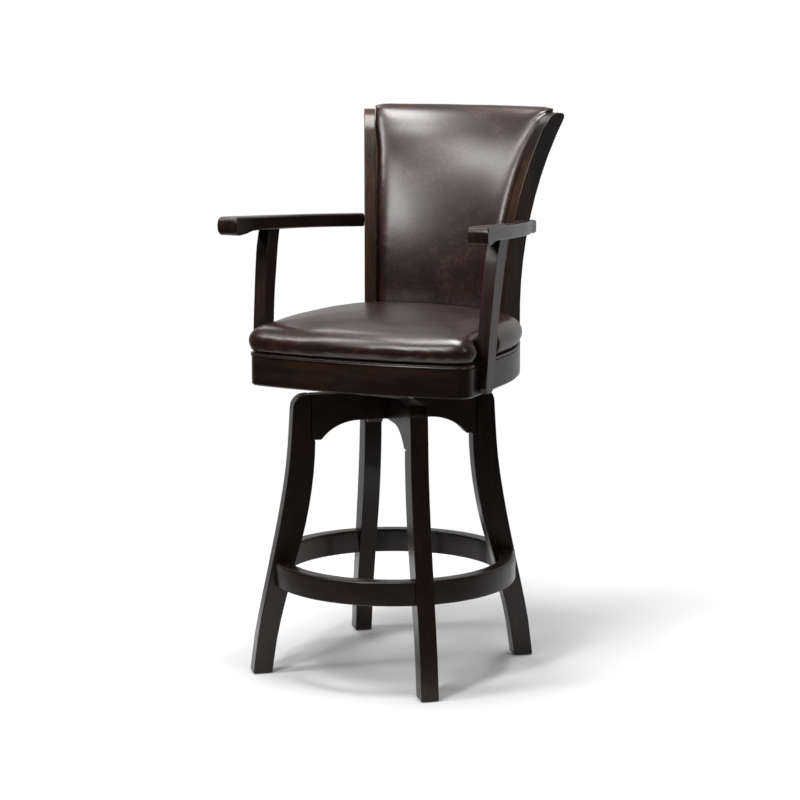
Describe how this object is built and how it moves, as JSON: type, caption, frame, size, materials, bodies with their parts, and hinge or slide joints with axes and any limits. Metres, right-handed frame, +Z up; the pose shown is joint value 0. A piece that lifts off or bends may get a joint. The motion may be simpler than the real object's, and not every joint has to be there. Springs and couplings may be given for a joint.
{
  "type": "bar stool",
  "caption": "Swivel bar stool with arms: dark sabre-legged wooden base with a round footrest, ball-race swivel, and a brown leather seat and curved back.",
  "frame": {"origin": "on the floor, under the middle of the whole stool's bounding box; the swivel's axis stands behind the front feet at X 0", "axes": "the sitter faces -Y, +X is to the right in the picture, +Z is up"},
  "size_m": [0.5988, 0.724, 1.184],
  "materials": {
    "espresso_wood": "espresso stain under satin lacquer, rubbed through to warm brown in places",
    "plywood": "unfinished",
    "beech": "unfinished",
    "brown_leather": "dark brown, mottled, semi-gloss",
    "zinc_plated_steel": "zinc plated",
    "black_steel": "blackened",
    "black_nylon": "matte"
  },
  "bodies": {
    "base": {"cross_rail_lower_lap": "espresso_wood", "cross_rail_upper_lap": "espresso_wood", "footrest_dowel_front_left": "beech", "footrest_dowel_front_right": "beech", "footrest_dowel_rear_left": "beech", "footrest_dowel_rear_right": "beech", "footrest_front": "espresso_wood", "footrest_left": "espresso_wood", "footrest_rear": "espresso_wood", "footrest_right": "espresso_wood", "glide_front_left": "black_nylon", "glide_front_right": "black_nylon", "glide_rear_left": "black_nylon", "glide_rear_right": "black_nylon", "leg_front_left": "espresso_wood", "leg_front_right": "espresso_wood", "leg_rear_left": "espresso_wood", "leg_rear_right": "espresso_wood", "leg_tenon_front_left": "beech", "leg_tenon_front_right": "beech", "leg_tenon_rear_left": "beech", "leg_tenon_rear_right": "beech", "swivel_ball_ring": "zinc_plated_steel", "swivel_plate_lower": "zinc_plated_steel", "swivel_rivet": "zinc_plated_steel", "swivel_screw_lower_1": "black_steel", "swivel_screw_lower_2": "black_steel", "swivel_screw_lower_3": "black_steel", "swivel_screw_lower_4": "black_steel"},
    "seat": {"arm_left": "espresso_wood", "arm_right": "espresso_wood", "arm_support_left": "espresso_wood", "arm_support_right": "espresso_wood", "back_cover": "brown_leather", "back_frame": "plywood", "back_pad": "brown_leather", "back_rail": "espresso_wood", "cushion_board": "plywood", "seat_band": "espresso_wood", "seat_cushion": "brown_leather", "seat_rail_front": "beech", "seat_rail_rear": "beech", "seat_welt": "brown_leather", "stile_bolt_left_high": "black_steel", "stile_bolt_left_low": "black_steel", "stile_bolt_right_high": "black_steel", "stile_bolt_right_low": "black_steel", "stile_left": "espresso_wood", "stile_right": "espresso_wood", "support_bolt_left_high": "black_steel", "support_bolt_left_low": "black_steel", "support_bolt_right_high": "black_steel", "support_bolt_right_low": "black_steel", "swivel_plate_upper": "zinc_plated_steel", "swivel_screw_upper_1": "black_steel", "swivel_screw_upper_2": "black_steel", "swivel_screw_upper_3": "black_steel", "swivel_screw_upper_4": "black_steel"}
  },
  "joints": [
    {"name": "swivel", "type": "hinge", "parent": "base", "child": "seat", "pos_m": [0, -0.09797, 0.6144], "axis": [0, 0, 1], "continuous": true}
  ]
}
